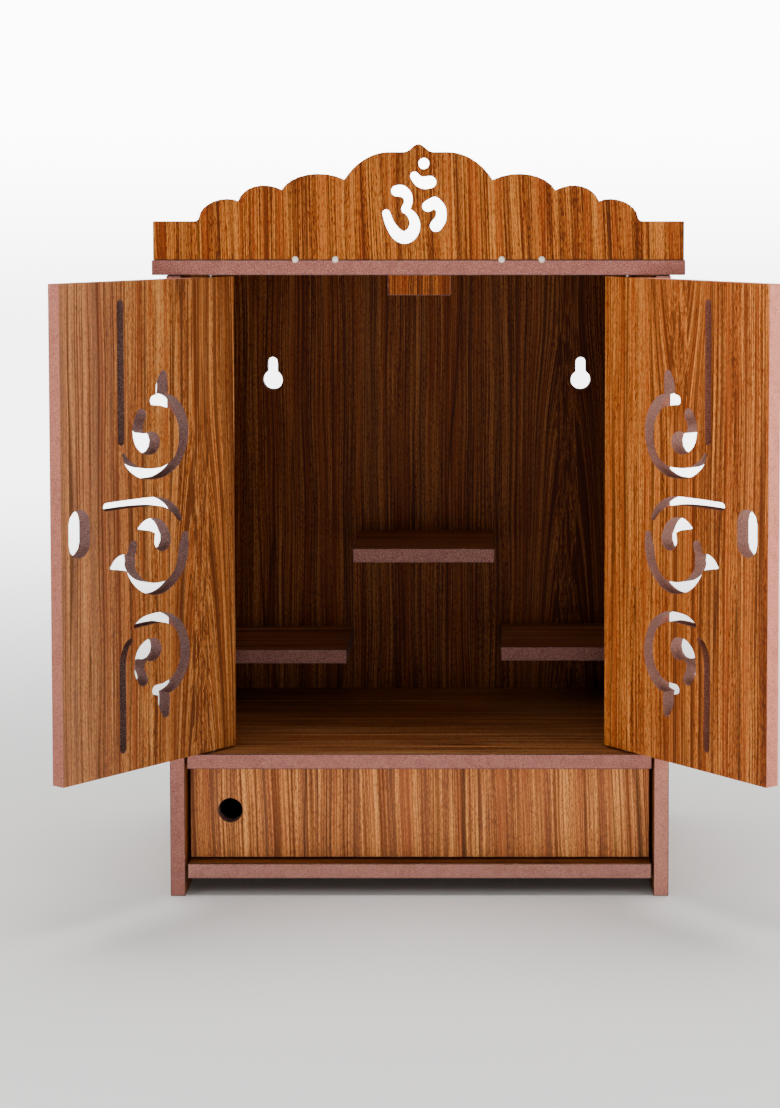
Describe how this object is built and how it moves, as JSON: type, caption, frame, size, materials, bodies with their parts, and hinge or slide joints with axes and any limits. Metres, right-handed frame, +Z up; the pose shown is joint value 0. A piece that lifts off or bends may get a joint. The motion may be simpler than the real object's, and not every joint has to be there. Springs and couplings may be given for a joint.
{
  "type": "household altar cabinet",
  "caption": "Small household altar cabinet of laminated board with a scalloped pierced crown, fret-cut swing doors, small shelves, keyholes in its back and a shallow drawer.",
  "frame": {"origin": "on the surface it stands on, under the middle of the whole object's box with both doors open", "axes": "+Z up, -Y out of the altar's front, +X to the right of someone who faces the front"},
  "size_m": [0.4112, 0.2958, 0.4521],
  "materials": {
    "teak_laminate": "satin orange-brown teak-print laminate, with the board edges painted a matt pinkish brown",
    "pin_steel": "bright drawn wire",
    "stud_plastic": "cream moulded plastic with a faint sheen"
  },
  "bodies": {
    "cabinet": {"side_panel_left": "teak_laminate", "side_panel_right": "teak_laminate", "top_board": "teak_laminate", "crown_board": "teak_laminate", "back_panel": "teak_laminate", "altar_floor": "teak_laminate", "base_board": "teak_laminate", "shelf_left": "teak_laminate", "shelf_center": "teak_laminate", "shelf_right": "teak_laminate", "door_stop_block": "teak_laminate", "pivot_pin_left_bottom": "pin_steel", "pivot_pin_left_top": "pin_steel", "pivot_pin_right_bottom": "pin_steel", "pivot_pin_right_top": "pin_steel", "crown_stud_1": "stud_plastic", "crown_stud_2": "stud_plastic", "crown_stud_3": "stud_plastic", "crown_stud_4": "stud_plastic"},
    "left_door": {"door_left": "teak_laminate"},
    "right_door": {"door_right": "teak_laminate"},
    "drawer": {"drawer_front": "teak_laminate", "drawer_side_left": "teak_laminate", "drawer_side_right": "teak_laminate", "drawer_back": "teak_laminate", "drawer_bottom": "teak_laminate"}
  },
  "joints": [
    {"name": "left_door_swing", "type": "hinge", "parent": "cabinet", "child": "left_door", "pos_m": [-0.1248, -0.0479, 0.2304], "axis": [0, 0, 1], "range_deg": [-4, 128.5]},
    {"name": "right_door_swing", "type": "hinge", "parent": "cabinet", "child": "right_door", "pos_m": [0.1248, -0.0479, 0.2304], "axis": [0, 0, -1], "range_deg": [-4, 128.5]},
    {"name": "drawer_slide", "type": "slide", "parent": "cabinet", "child": "drawer", "axis": [0, -1, 0], "range_m": [0, 0.12]}
  ]
}
